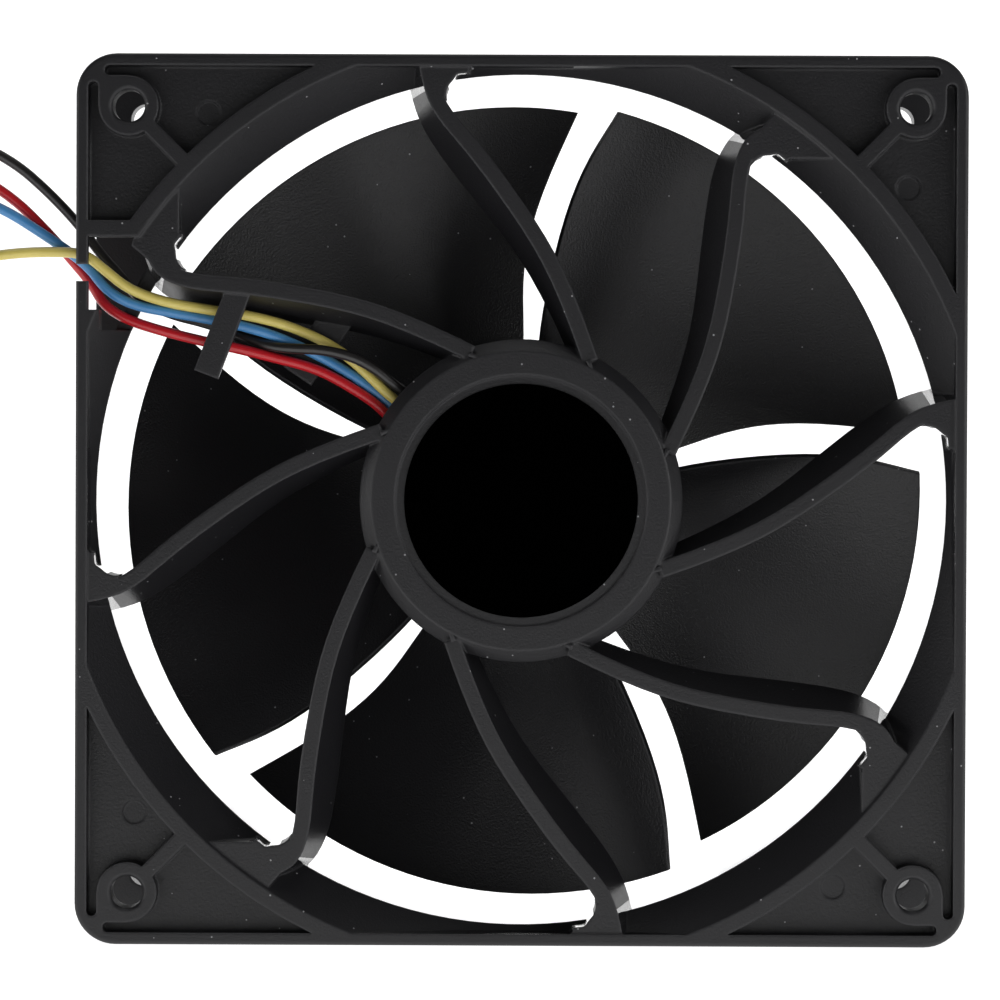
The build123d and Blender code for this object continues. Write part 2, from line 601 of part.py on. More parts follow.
# --- leads ----------------------------------------------------------------------------------------------
# Each route is in the row frame: from the board, past the two tabs, out of the slot in the left
# wall, over and down to the coil on the ground.
LEADS = {
    "lead_black": [
        (-10.5, -12.4, 70.5), (-15.8, -13.6, 73.8), (-20.9, -14.9, 78.1), (-26.2, -15.1, 79.6),
        (-30.6, -15.0, 79.7), (-33.6, -13.9, 80.0), (-37.2, -12.3, 81.2), (-42.2, -12.0, 83.1),
        (-47.4, -12.6, 84.3), (-51.5, -13.3, 86.3), (-54.0, -13.4, 89.5), (-56.6, -13.3, 92.3),
        (-59.4, -13.2, 96.1), (-63.4, -13.3, 100.4), (-68.4, -13.4, 104.8), (-75.4, -13.6, 108.1),
        (-82.2, -13.9, 104.9), (-86.4, -14.3, 96.3), (-87.9, -14.8, 82.5), (-87.4, -15.4, 66.9),
        (-86.2, -15.9, 51.01), (-85.0, -16.5, 36.59), (-84.9, -17.1, 24.15), (-86.6, -17.7, 13.6),
        (-90.6, -18.0, 7.0), (-95.4, -18.0, 5.1)],
    "lead_red": [
        (-14.1, -12.4, 66.0), (-17.8, -13.4, 71.2), (-23.4, -13.3, 74.9), (-27.9, -13.2, 77.2),
        (-34.0, -13.5, 78.7), (-38.0, -14.2, 79.7), (-42.4, -14.8, 80.6), (-48.2, -14.4, 82.0),
        (-53.0, -13.6, 83.5), (-56.2, -13.3, 85.5), (-57.9, -13.3, 88.5), (-60.2, -13.3, 91.2),
        (-63.6, -13.4, 95.1), (-68.4, -13.5, 99.9), (-74.4, -13.7, 103.5), (-80.4, -14.0, 101.1),
        (-84.6, -14.4, 93.7), (-86.2, -14.9, 81.1), (-85.8, -15.5, 66.3), (-84.6, -16.0, 50.61),
        (-83.4, -16.6, 36.39), (-83.2, -17.2, 23.55), (-84.9, -17.8, 12.0), (-89.4, -18.0, 5.5),
        (-95.4, -18.0, 3.65)],
    "lead_blue": [
        (-13.0, -12.4, 67.45), (-17.1, -12.6, 72.2), (-22.5, -12.9, 76.1), (-27.0, -12.8, 78.7),
        (-32.4, -13.3, 81.2), (-36.8, -14.2, 82.6), (-41.6, -14.8, 83.6), (-47.0, -14.8, 84.5),
        (-52.4, -14.8, 85.5), (-55.8, -14.85, 87.5), (-58.0, -14.85, 90.5), (-61.0, -14.85, 92.8),
        (-64.6, -14.9, 95.2), (-69.0, -15.0, 98.0), (-74.2, -15.1, 100.2), (-79.0, -15.2, 97.9),
        (-82.8, -15.4, 91.1), (-84.5, -15.8, 79.5), (-84.2, -16.2, 65.5), (-83.0, -16.6, 50.22),
        (-81.8, -17.0, 36.0), (-81.6, -17.5, 22.96), (-83.4, -17.9, 10.4), (-88.4, -18.0, 4.0),
        (-95.4, -18.0, 2.2)],
    "lead_yellow": [
        (-11.8, -12.4, 69.1), (-16.8, -14.2, 72.5), (-21.6, -13.4, 77.3), (-25.7, -13.0, 80.4),
        (-31.2, -13.2, 82.8), (-36.2, -14.3, 84.1), (-42.0, -15.6, 84.9), (-47.6, -15.5, 85.8),
        (-52.6, -15.8, 87.5), (-55.8, -16.2, 90.1), (-58.6, -16.3, 92.4), (-63.0, -16.35, 92.55),
        (-67.4, -16.4, 92.4), (-71.8, -16.4, 91.8), (-75.8, -16.5, 89.5), (-79.3, -16.6, 84.3),
        (-81.7, -16.7, 76.1), (-82.5, -16.9, 64.5), (-81.4, -17.2, 49.82), (-80.2, -17.4, 35.6),
        (-80.0, -17.6, 21.58), (-82.0, -17.9, 8.8), (-87.6, -18.0, 2.4), (-95.4, -18.0, 0.75)],
}


def corner_radii(points):
    """As large as the runs allow: 0.45 of the shorter run over the tangent of half the turn."""
    radii = []
    for before, here, after in zip(points, points[1:], points[2:]):
        first = Vector(*here) - Vector(*before)
        second = Vector(*after) - Vector(*here)
        turn = first.get_angle(second)
        radii.append(0.45 * min(first.length, second.length) / tan(radians(turn / 2)))
    return radii


def lead(name):
    points = LEADS[name]
    radii = corner_radii(points)
    path = FilletPolyline(*points, radius=radii)
    body = sweep(Plane(origin=path @ 0, z_dir=path % 0) * Circle(LEAD_D / 2), path=path)
    expected = pi * LEAD_D ** 2 / 4 * path.length
    print(name, "length", round(path.length, 1), "volume / expected", round(body.volume / expected, 4),
          "arc radii", [round(r, 1) for r in radii])
    return body


def lead_coil():
    """Outer shape of the wound-up length of the four leads, with their tails to the plug."""
    x, y = COIL_CENTRE
    body = ring(COIL_MEAN_R + COIL_W / 2, COIL_MEAN_R - COIL_W / 2, GROUND, GROUND + COIL_H)
    inner = COIL_MEAN_R - COIL_W / 2
    plug_x = PLUG_OFFSET[0]
    plug_back = PLUG_OFFSET[1] + PLUG[1] / 2
    half = PLUG[0] / 2 - 0.9
    outline = [(-7.5, inner - 1.0), (plug_x - half, plug_back), (plug_x + half, plug_back), (8.9, inner - 1.4),
               (3.0, inner + 1.0), (-3.0, inner + 1.0)]
    tails = make_face(Polyline([(px, py, GROUND) for px, py in outline], close=True))
    return Pos(x, y, 0) * (body + extrude(tails, TAIL_H))


def coil_tie():
    """Plastic strap round one side of the coil, with its square head outside."""
    x, y = COIL_CENTRE
    width = COIL_W + 2 * TIE_T
    height = COIL_H + TIE_T
    hole = Pos(0, 0, GROUND + COIL_H / 2) * Box(COIL_W + 0.1, 3 * TIE_W, COIL_H + 0.1)
    strap = Pos(0, 0, GROUND + height / 2) * Box(width, TIE_W, height) - hole
    head = Pos(-COIL_W / 2 - TIE_T - 0.9, 0, GROUND + 2.4) * Box(2.2, 3.0, 3.2)
    return Pos(x - COIL_MEAN_R, y, 0) * (strap + head)


def plug_seat():
    """The plug lies inside the coil with its open front towards the viewer's side."""
    x, y = COIL_CENTRE
    return Pos(x + PLUG_OFFSET[0], y + PLUG_OFFSET[1], GROUND + PLUG[2] / 2)


def connector_housing():
    width, length, height = PLUG
    body = Box(width, length, height)
    body = chamfer(body.edges().filter_by(Axis.Y), 0.4)
    for i in range(4):
        place = (i - 1.5) * PLUG_PITCH
        body -= Pos(place, 0, 0) * Box(1.9, length + 1, 2.6)
        body -= Pos(place, 5 - length / 2, height / 2) * Box(1.2, 3.0, 1.2)
    for place in (0, PLUG_PITCH):
        body += Pos(place, -1.5, height / 2 + 0.35) * Box(1.0, length - 4, 0.7)
    return plug_seat() * body


def connector_terminals():
    """Crimped sockets, one in each way of the plug."""
    sockets = []
    for i in range(4):
        barrel = Box(1.5, PLUG[1] - 2.0, 2.0) - Box(0.9, PLUG[1], 1.4)
        sockets.append(plug_seat() * Pos((i - 1.5) * PLUG_PITCH, -0.4, 0) * barrel)
    return sockets


def solder_joints():
    """One mound of solder under the start of each lead."""
    mounds = []
    for points in LEADS.values():
        x, y, z = points[0]
        mounds.append(Pos(x, -(BOARD_REAR + 0.5), z) * Rot(90, 0, 0) * Cone(0.85, 0.5, 1.0))
    return mounds


# --- writing ----------------------------------------------------------------------------------------------
def fan_pieces():
    pieces = {
        "frame_housing": frame_housing(), "impeller": impeller(), "rear_label": rear_label(),
        "rotor_yoke": rotor_yoke(),
        "rotor_magnet": ring(YOKE_IN_R, MAGNET_IN_R, MAGNET_FRONT, MAGNET_REAR),
        "shaft_boss": shaft_boss(), "shaft": shaft(), "shaft_clip": shaft_clip(),
        "preload_spring": preload_spring(), "spring_washer": spring_washer(),
        "bearing_tube": bearing_tube(), "stator_core": stator_core(),
        "bobbin_front": bobbin(CORE_FRONT, -1), "bobbin_rear": bobbin(CORE_REAR, 1),
        "windings": windings(), "winding_pins": winding_pins(), "circuit_board": circuit_board(),
        "driver_ic": chip((5.0, 4.0, 1.5), 4, 12.4, -14),
        "switch_transistor": chip((4.4, 3.4, 1.4), 3, 12.6, 210),
        "hall_sensor": chip((2.9, 2.4, 0.9), 3, 16.6, 90, -1),
        "board_capacitor": board_capacitor(), "board_resistors": board_resistors(),
    }
    for place, middle in (("front", FRONT_BEARING_Z), ("rear", REAR_BEARING_Z)):
        for name, shape in bearing(middle):
            pieces[f"{place}_bearing_{name}"] = shape
    return pieces


def loose_pieces():
    pieces = {name: lead(name) for name in LEADS}
    pieces["solder_joints"] = solder_joints()
    pieces["lead_coil"] = lead_coil()
    pieces["coil_tie"] = coil_tie()
    pieces["connector_housing"] = connector_housing()
    pieces["connector_terminals"] = connector_terminals()
    return pieces


def write(name, shape, place):
    """One file per node; a list is a group of separate solids in one node."""
    solids = [place * piece for piece in (shape if isinstance(shape, list) else [shape])]
    export_step(solids[0] if len(solids) == 1 else Compound(solids), f"parts/{name}.step")


os.makedirs("parts", exist_ok=True)
for name, shape in fan_pieces().items():
    write(name, shape, TO_ROW)
for name, shape in loose_pieces().items():
    write(name, shape, Pos(0, 0, 0))
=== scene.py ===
# %% [markdown]
# # An axial case fan
# A thick black fan stands on one edge of its frame and shows its outlet side: eight curved vanes
# carry the motor, and a five-bladed impeller turns behind them. The moulded and turned parts come
# from the CAD model at their real size. What is made here is their finish, the four leads, the
# plug and the small parts whose look depends on detail.

# %% Load the fixed frame
import bpy
from math import cos, pi, radians, sin
from mathutils import Matrix, Vector


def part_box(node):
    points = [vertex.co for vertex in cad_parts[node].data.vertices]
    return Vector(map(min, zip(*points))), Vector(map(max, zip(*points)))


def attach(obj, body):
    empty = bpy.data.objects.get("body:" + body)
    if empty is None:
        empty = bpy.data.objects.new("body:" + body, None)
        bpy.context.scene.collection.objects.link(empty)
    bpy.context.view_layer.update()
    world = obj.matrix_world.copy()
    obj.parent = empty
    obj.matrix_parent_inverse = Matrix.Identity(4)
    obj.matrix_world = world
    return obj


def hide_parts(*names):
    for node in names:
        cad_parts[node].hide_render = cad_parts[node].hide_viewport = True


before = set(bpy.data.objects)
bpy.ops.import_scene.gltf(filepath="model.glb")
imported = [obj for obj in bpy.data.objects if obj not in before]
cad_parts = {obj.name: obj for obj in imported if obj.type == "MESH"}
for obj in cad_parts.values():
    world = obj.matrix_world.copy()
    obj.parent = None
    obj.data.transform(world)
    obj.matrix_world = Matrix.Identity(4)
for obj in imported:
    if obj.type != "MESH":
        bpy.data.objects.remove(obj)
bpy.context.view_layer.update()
bpy.ops.object.select_all(action="DESELECT")
print("nodes:", len(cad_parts))

# %% The places everything else is worked out from
frame_low, frame_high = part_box("frame_housing")
AXIS = (Vector(frame_low) + Vector(frame_high)) / 2     # middle of the fan, on its axis
OUTLET_Y = frame_low[1]
print("fan axis at height", round(AXIS.z, 4), "and outlet face at y =", round(OUTLET_Y, 4))

# %% [markdown]
# ## Camera
# The fan is looked at square on, from a little above its axis and a long way back, as for a
# catalogue. A long lens keeps the far end of the duct nearly as large as the near one.

# %% Camera
VIEW_DISTANCE = 0.690
VIEW_WIDTH = 0.1334                                 # taken in at the outlet face
VIEW_AZIMUTH = radians(0.27)
VIEW_ELEVATION = radians(0.93)
VIEW_ROLL = radians(0.22)

AIM_OFFSET = Vector((-0.0028, 0.0, 0.0001))         # from the middle of the outlet face

camera_data = bpy.data.cameras.new("camera")
camera_data.sensor_width = 36.0
camera_data.lens = camera_data.sensor_width * VIEW_DISTANCE / VIEW_WIDTH
camera = bpy.data.objects.new("camera", camera_data)
bpy.context.collection.objects.link(camera)
aim = Vector((0.0, OUTLET_Y, AXIS.z)) + AIM_OFFSET
back = Vector((sin(VIEW_AZIMUTH) * cos(VIEW_ELEVATION),
               -cos(VIEW_AZIMUTH) * cos(VIEW_ELEVATION), sin(VIEW_ELEVATION)))
camera.location = aim + back * VIEW_DISTANCE
level_turn = (-back).to_track_quat("-Z", "Y").to_matrix().to_4x4()
camera.rotation_euler = (level_turn @ Matrix.Rotation(VIEW_ROLL, 4, "Z")).to_euler()
bpy.context.scene.camera = camera
print("lens:", round(camera_data.lens, 1), "mm")

# %% [markdown]
# ## Leads
# Four thin leads leave the motor base through a notch, run beside a vane, pass behind one tab and
# in front of another, and leave the frame through a slot. Outside they bend down to the ground,
# where the rest of their length is wound up. Each one is a single smooth curve, so that its length
# is one number that can be checked.

# %% Routes of the leads, from the board to the coil
LEAD_DIAMETER = 0.0014
LEAD_ROUTES = {
    "black": [
        (-0.0105, -0.0124, 0.0705), (-0.0158, -0.0136, 0.0738), (-0.0209, -0.0149, 0.0781),
        (-0.0262, -0.0151, 0.0796), (-0.0306, -0.0150, 0.0797), (-0.0336, -0.0139, 0.0800),
        (-0.0372, -0.0123, 0.0812), (-0.0422, -0.0120, 0.0831), (-0.0474, -0.0126, 0.0843),
        (-0.0515, -0.0133, 0.0863), (-0.0540, -0.0134, 0.0895), (-0.0566, -0.0133, 0.0923),
        (-0.0594, -0.0132, 0.0961), (-0.0634, -0.0133, 0.1004), (-0.0684, -0.0134, 0.1048),
        (-0.0754, -0.0136, 0.1081), (-0.0822, -0.0139, 0.1049), (-0.0864, -0.0143, 0.0963),
        (-0.0879, -0.0148, 0.0825), (-0.0874, -0.0154, 0.0669), (-0.0862, -0.0159, 0.05101),
        (-0.0850, -0.0165, 0.03659), (-0.0849, -0.0171, 0.02415), (-0.0866, -0.0177, 0.0136),
        (-0.0906, -0.0180, 0.0070), (-0.0954, -0.0180, 0.0051)],
    "red": [
        (-0.0141, -0.0124, 0.0660), (-0.0178, -0.0134, 0.0712), (-0.0234, -0.0133, 0.0749),
        (-0.0279, -0.0132, 0.0772), (-0.0340, -0.0135, 0.0787), (-0.0380, -0.0142, 0.0797),
        (-0.0424, -0.0148, 0.0806), (-0.0482, -0.0144, 0.0820), (-0.0530, -0.0136, 0.0835),
        (-0.0562, -0.0133, 0.0855), (-0.0579, -0.0133, 0.0885), (-0.0602, -0.0133, 0.0912),
        (-0.0636, -0.0134, 0.0951), (-0.0684, -0.0135, 0.0999), (-0.0744, -0.0137, 0.1035),
        (-0.0804, -0.0140, 0.1011), (-0.0846, -0.0144, 0.0937), (-0.0862, -0.0149, 0.0811),
        (-0.0858, -0.0155, 0.0663), (-0.0846, -0.0160, 0.05061), (-0.0834, -0.0166, 0.03639),
        (-0.0832, -0.0172, 0.02355), (-0.0849, -0.0178, 0.0120), (-0.0894, -0.0180, 0.0055),
        (-0.0954, -0.0180, 0.00365)],
    "blue": [
        (-0.0130, -0.0124, 0.06745), (-0.0171, -0.0126, 0.0722), (-0.0225, -0.0129, 0.0761),
        (-0.0270, -0.0128, 0.0787), (-0.0324, -0.0133, 0.0812), (-0.0368, -0.0142, 0.0826),
        (-0.0416, -0.0148, 0.0836), (-0.0470, -0.0148, 0.0845), (-0.0524, -0.0148, 0.0855),
        (-0.0558, -0.01485, 0.0875), (-0.0580, -0.01485, 0.0905), (-0.0610, -0.01485, 0.0928),
        (-0.0646, -0.0149, 0.0952), (-0.0690, -0.0150, 0.0980), (-0.0742, -0.0151, 0.1002),
        (-0.0790, -0.0152, 0.0979), (-0.0828, -0.0154, 0.0911), (-0.0845, -0.0158, 0.0795),
        (-0.0842, -0.0162, 0.0655), (-0.0830, -0.0166, 0.05022), (-0.0818, -0.0170, 0.0360),
        (-0.0816, -0.0175, 0.02296), (-0.0834, -0.0179, 0.0104), (-0.0884, -0.0180, 0.0040),
        (-0.0954, -0.0180, 0.0022)],
    "yellow": [
        (-0.0118, -0.0124, 0.0691), (-0.0168, -0.0142, 0.0725), (-0.0216, -0.0134, 0.0773),
        (-0.0257, -0.0130, 0.0804), (-0.0312, -0.0132, 0.0828), (-0.0362, -0.0143, 0.0841),
        (-0.0420, -0.0156, 0.0849), (-0.0476, -0.0155, 0.0858), (-0.0526, -0.0158, 0.0875),
        (-0.0558, -0.0162, 0.0901), (-0.0586, -0.0163, 0.0924), (-0.0630, -0.01635, 0.09255),
        (-0.0674, -0.0164, 0.0924), (-0.0718, -0.0164, 0.0918), (-0.0758, -0.0165, 0.0895),
        (-0.0793, -0.0166, 0.0843), (-0.0817, -0.0167, 0.0761), (-0.0825, -0.0169, 0.0645),
        (-0.0814, -0.0172, 0.04982), (-0.0802, -0.0174, 0.0356), (-0.0800, -0.0176, 0.02158),
        (-0.0820, -0.0179, 0.0088), (-0.0876, -0.0180, 0.0024), (-0.0954, -0.0180, 0.00075)],
}
print("routes of", len(LEAD_ROUTES), "leads")

# %% The coil on the ground
COIL_CENTRE = Vector((-0.0950, -0.0016, 0.0))
COIL_OUTER_R = 0.0173                               # centreline of the first turn
COIL_PITCH = 0.00155                                # from one turn to the next
PLUG_PITCH = 0.00254
PLUG_X = COIL_CENTRE.x + 0.0030
PLUG_BACK_Y = COIL_CENTRE.y + 0.0070
PLUG_Z = 0.00282
LEAVE_ANGLE = {"yellow": 118, "blue": 108, "red": 98, "black": 90}
START_ANGLE = -90                                   # where the leads meet the coil
COIL_STEP = 30                                      # degrees between points
TAIL_LEAD_IN = Vector((-0.0008, 0.0052))            # from the plug's back, where a lead turns in
TAIL_STRAIGHT = (0.0026, 0.0, -0.0030)              # points along the way, from the plug's back


def coil_points(colour, height):
    """Turns of one lead in the coil, clockwise from above, each lead at its own height."""
    sweep = 270 - LEAVE_ANGLE[colour] + 360
    steps = round(sweep / COIL_STEP)
    outward = cos(radians(COIL_STEP / 2))           # the spline cuts inside its own points
    points = []
    for step in range(1, steps + 1):
        turned = sweep * step / steps
        angle = radians(START_ANGLE - turned)
        radius = (COIL_OUTER_R - COIL_PITCH * turned / 360) / outward
        points.append((COIL_CENTRE.x + radius * cos(angle),
                       COIL_CENTRE.y + radius * sin(angle), height))
    return points


def tail_points(colour, height):
    """From the coil into this lead's way of the plug."""
    way = list(LEAVE_ANGLE).index(colour)
    x = PLUG_X + (way - 1.5) * PLUG_PITCH
    turn_in = (x + TAIL_LEAD_IN.x, PLUG_BACK_Y + TAIL_LEAD_IN.y, (height + PLUG_Z) / 2)
    return [turn_in] + [(x, PLUG_BACK_Y + along, PLUG_Z) for along in TAIL_STRAIGHT]


# %% The lead curves


def smooth_curve(name, points, diameter):
    """A round cord whose centreline is one smooth spline steered by these points."""
    data = bpy.data.curves.new(name, "CURVE")
    data.dimensions = "3D"
    data.bevel_depth = 1.0                          # each point's own radius sets the thickness
    data.bevel_resolution = 5
    data.use_fill_caps = True
    spline = data.splines.new("NURBS")
    spline.points.add(len(points) - 1)
    for place, point in zip(spline.points, points):
        place.co = (*point, 1.0)
        place.radius = diameter / 2
    spline.order_u = 3
    spline.use_endpoint_u = True
    spline.resolution_u = 8
    piece = bpy.data.objects.new(name, data)
    bpy.context.collection.objects.link(piece)
    return piece


leads = {}
for colour, route in LEAD_ROUTES.items():
    level = route[-1][2]
    points = route[:-1] + [(COIL_CENTRE.x, COIL_CENTRE.y - COIL_OUTER_R, level)]
    points += coil_points(colour, level) + tail_points(colour, level)
    leads[colour] = smooth_curve("lead_" + colour + "_wire", points, LEAD_DIAMETER)
    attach(leads[colour], "frame")
    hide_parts("lead_" + colour, *(["lead_coil"] if colour == "black" else []))
print("leads:", ", ".join(leads))

# %% [markdown]
# ## Plug
# The leads end in a small black plug with one way for each lead: a rectangular shell, open at the
# front, with a latch window over each way and two guide ribs on its top. It could be cut from a
# block with booleans, but insets and extrusions give clean walls with faces that bevel well.

# %% Helpers for modelling with operators
PLUG_LOW, PLUG_HIGH = [Vector(corner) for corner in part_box("connector_housing")]


def faces_where(test):
    """In edit mode, select exactly the faces whose centre and normal pass the test."""
    bpy.ops.mesh.select_all(action="DESELECT")
    bpy.ops.object.mode_set(mode="OBJECT")
    for polygon in bpy.context.object.data.polygons:
        polygon.select = test(polygon.center, polygon.normal)
    bpy.ops.object.mode_set(mode="EDIT")
    bpy.ops.mesh.select_mode(type="FACE")


def extrude(x, y, z):
    """Extrude the selected faces in edit mode along this way."""
    bpy.ops.mesh.extrude_region_move(TRANSFORM_OT_translate={"value": (x, y, z)})


def start_block(name, low, high):
    """A cube primitive between two corners, left in edit mode with its place in its mesh."""
    bpy.ops.object.select_all(action="DESELECT")
    middle = (Vector(low) + Vector(high)) / 2
    bpy.ops.mesh.primitive_cube_add(size=1, location=middle, scale=Vector(high) - Vector(low))
    piece = bpy.context.object
    piece.name = name
    bpy.ops.object.transform_apply(location=True, rotation=True, scale=True)
    bpy.ops.object.mode_set(mode="EDIT")
    bpy.ops.mesh.select_mode(type="FACE")
    return piece


def cut(place, normal):
    """Cut the whole mesh in edit mode by a plane."""
    bpy.ops.mesh.select_all(action="SELECT")
    bpy.ops.mesh.bisect(plane_co=place, plane_no=normal)


def finish_piece(piece, bevel):
    """Back to object mode, edges rounded, smooth shading, and riding on the frame."""
    bpy.ops.mesh.select_all(action="SELECT")
    bpy.ops.mesh.normals_make_consistent(inside=False)
    bpy.ops.object.mode_set(mode="OBJECT")
    rounding = piece.modifiers.new("rounding", "BEVEL")
    rounding.width = bevel
    rounding.segments = 2
    rounding.limit_method = "ANGLE"
    bpy.ops.object.modifier_apply(modifier=rounding.name)
    bpy.ops.object.shade_smooth_by_angle(angle=radians(35))
    piece.select_set(False)
    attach(piece, "frame")
    print(piece.name, "has", len(piece.data.polygons), "faces")
    return piece


# %% Plug shell
WAY_WALL = 0.00034
WAY_DEPTH = 0.0046
WAY_Z = (0.0012, 0.0044)                            # from the plug's underside
RIB_HEIGHT = 0.0007
RIB_Y = (0.0060, 0.0125)                            # from the plug's front
WINDOW_Y = (0.0030, 0.0060)
WINDOW_WALL = 0.0004
WINDOW_DEPTH = 0.0006
AT_FACE = 0.0001                                    # how near a face counts as on a plane
plug_top = PLUG_HIGH.z - RIB_HEIGHT
way_edges = [PLUG_X + (i - 2) * PLUG_PITCH for i in range(5)]
RIB_EDGES = [(PLUG_X - 0.0005, PLUG_X + 0.0005), (PLUG_X + 0.00204, PLUG_X + 0.00304)]

shell = start_block("plug_shell", PLUG_LOW, (PLUG_HIGH.x, PLUG_HIGH.y, plug_top))
for edge in way_edges[1:4] + [edge for pair in RIB_EDGES for edge in pair]:
    cut((edge, 0, 0), (1, 0, 0))
for depth in (*WINDOW_Y, RIB_Y[1]):
    cut((0, PLUG_LOW.y + depth, 0), (0, 1, 0))
for height in WAY_Z:
    cut((0, 0, PLUG_LOW.z + height), (0, 0, 1))


def in_way(i, centre):
    return way_edges[i] < centre.x < way_edges[i + 1]


def on_end(i, sign):
    """Test for the faces of one way on the plug's front (-1) or back (1)."""
    end = PLUG_LOW.y if sign < 0 else PLUG_HIGH.y
    return lambda c, n: (n.y * sign > 0.9 and in_way(i, c) and abs(c.y - end) < AT_FACE
                         and WAY_Z[0] < c.z - PLUG_LOW.z < WAY_Z[1])


def on_top(inside, along):
    """Test for the top faces between two distances from the front."""
    return lambda c, n: (n.z > 0.9 and inside(c) and along[0] < c.y - PLUG_LOW.y < along[1]
                         and c.z > plug_top - 2 * AT_FACE)


for sign in (-1, 1):
    for i in range(4):
        faces_where(on_end(i, sign))
        bpy.ops.mesh.inset(thickness=WAY_WALL, depth=0)
        extrude(0, -sign * WAY_DEPTH, 0)
print("ways cut in the plug")

# %% Latch windows, ribs and the finish of the shell
for i in range(4):
    faces_where(on_top(lambda c: in_way(i, c), WINDOW_Y))
    bpy.ops.mesh.inset(thickness=WINDOW_WALL, depth=0)
    extrude(0, 0, -WINDOW_DEPTH)
for low_x, high_x in RIB_EDGES:
    faces_where(on_top(lambda c: low_x < c.x < high_x, RIB_Y))
    extrude(0, 0, RIB_HEIGHT)
finish_piece(shell, 0.00012)
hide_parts("connector_housing")

# %% [markdown]
# ## Terminals
# Each lead is crimped into a small sheet-metal socket. One socket is modelled with its open mouth
# and its folded crimp wings, and it is duplicated in edit mode for the other three ways, so that
# all four stay one piece.

# %% Crimped sockets
SOCKET_HALF = 0.00062
SOCKET_FRONT = PLUG_LOW.y + 0.0012
SOCKET_LENGTH = 0.0062
SOCKET_WALL = 0.00018
MOUTH_SHARE = 0.8                                   # of the socket's length that is hollow
NECK_INSET = 0.0002
NECK_LENGTH = 0.0008
CRIMP_LENGTH = 0.0034
CRIMP_SPREAD = 1.5
CRIMP_TAPER_SHARE = 0.4                             # of the crimp's length that widens

first_x = PLUG_X - 1.5 * PLUG_PITCH
socket_low = Vector((first_x - SOCKET_HALF, SOCKET_FRONT, PLUG_Z - SOCKET_HALF))
socket = start_block("crimped_sockets", socket_low,
                     socket_low + Vector((2 * SOCKET_HALF, SOCKET_LENGTH, 2 * SOCKET_HALF)))
faces_where(lambda c, n: n.y < -0.9)
bpy.ops.mesh.inset(thickness=SOCKET_WALL, depth=0)
extrude(0, SOCKET_LENGTH * MOUTH_SHARE, 0)
faces_where(lambda c, n: n.y > 0.9 and c.y > SOCKET_FRONT + SOCKET_LENGTH - AT_FACE)
bpy.ops.mesh.inset(thickness=NECK_INSET, depth=0)
extrude(0, NECK_LENGTH, 0)
extrude(0, CRIMP_LENGTH * CRIMP_TAPER_SHARE, 0)
bpy.ops.transform.resize(value=(CRIMP_SPREAD, 1, CRIMP_SPREAD))
extrude(0, CRIMP_LENGTH * (1 - CRIMP_TAPER_SHARE), 0)
bpy.ops.mesh.select_all(action="SELECT")
bpy.ops.mesh.normals_make_consistent(inside=False)
for i in range(1, 4):
    faces_where(lambda c, n: c.x < first_x + PLUG_PITCH / 2)
    bpy.ops.mesh.duplicate_move(TRANSFORM_OT_translate={"value": (PLUG_PITCH * i, 0, 0)})
finish_piece(socket, 0.00006)
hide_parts("connector_terminals")

# %% [markdown]
# ## Tie
# A black strap holds the turns together. Its band is a block whose two ends are inset and joined
# through by a bridge. Its head is a second block with a hollow in its top, from which the strap's
# cut end stands out. The strap's teeth are an array of small ridges.

# %% Strap round the coil
STRAP_THICK = 0.0006
STRAP_HALF_WIDTH = 0.0011
strap_low, strap_high = [Vector(corner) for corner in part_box("coil_tie")]
strap_y = (strap_low.y + strap_high.y) / 2
coil_edge_x = COIL_CENTRE.x - COIL_OUTER_R
BAND_INSIDE_X = (coil_edge_x - 0.0003, coil_edge_x + 0.0029)
band = start_block("strap_band",
                   (BAND_INSIDE_X[0] - STRAP_THICK, strap_y - STRAP_HALF_WIDTH, 0.0),
                   (BAND_INSIDE_X[1] + STRAP_THICK, strap_y + STRAP_HALF_WIDTH, strap_high.z))
faces_where(lambda c, n: abs(n.y) > 0.9)
bpy.ops.mesh.inset(thickness=STRAP_THICK, depth=0, use_individual=True)
bpy.ops.mesh.bridge_edge_loops()
finish_piece(band, 0.0002)
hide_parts("coil_tie")

# %% Head and toothed tail of the strap
HEAD_SIZE = Vector((0.0021, 0.0030, 0.0032))
HEAD_OVERLAP = 0.0002                               # how far the head reaches into the band
HEAD_BASE = 0.0008                                  # underside of the head above the ground
HEAD_WALL = 0.0005
HEAD_HOLLOW = 0.0010
END_CLEARANCE = 0.00025                             # round the strap's cut end in the hollow
END_LENGTH = 0.0019
TEETH = 7
TOOTH_PITCH = 0.0004
TOOTH_HALF_WIDTH = 0.0008

head_low = Vector((BAND_INSIDE_X[0] - STRAP_THICK - HEAD_SIZE.x + HEAD_OVERLAP,
                   strap_y - HEAD_SIZE.y / 2, HEAD_BASE))
head = start_block("strap_head", head_low, head_low + HEAD_SIZE)
faces_where(lambda c, n: n.z > 0.9)
bpy.ops.mesh.inset(thickness=HEAD_WALL, depth=0)
extrude(0, 0, -HEAD_HOLLOW)
faces_where(lambda c, n: n.z > 0.9 and c.z < head_low.z + HEAD_SIZE.z - HEAD_HOLLOW / 2)
bpy.ops.mesh.inset(thickness=END_CLEARANCE, depth=0)
extrude(0, 0, END_LENGTH)
finish_piece(head, 0.0002)

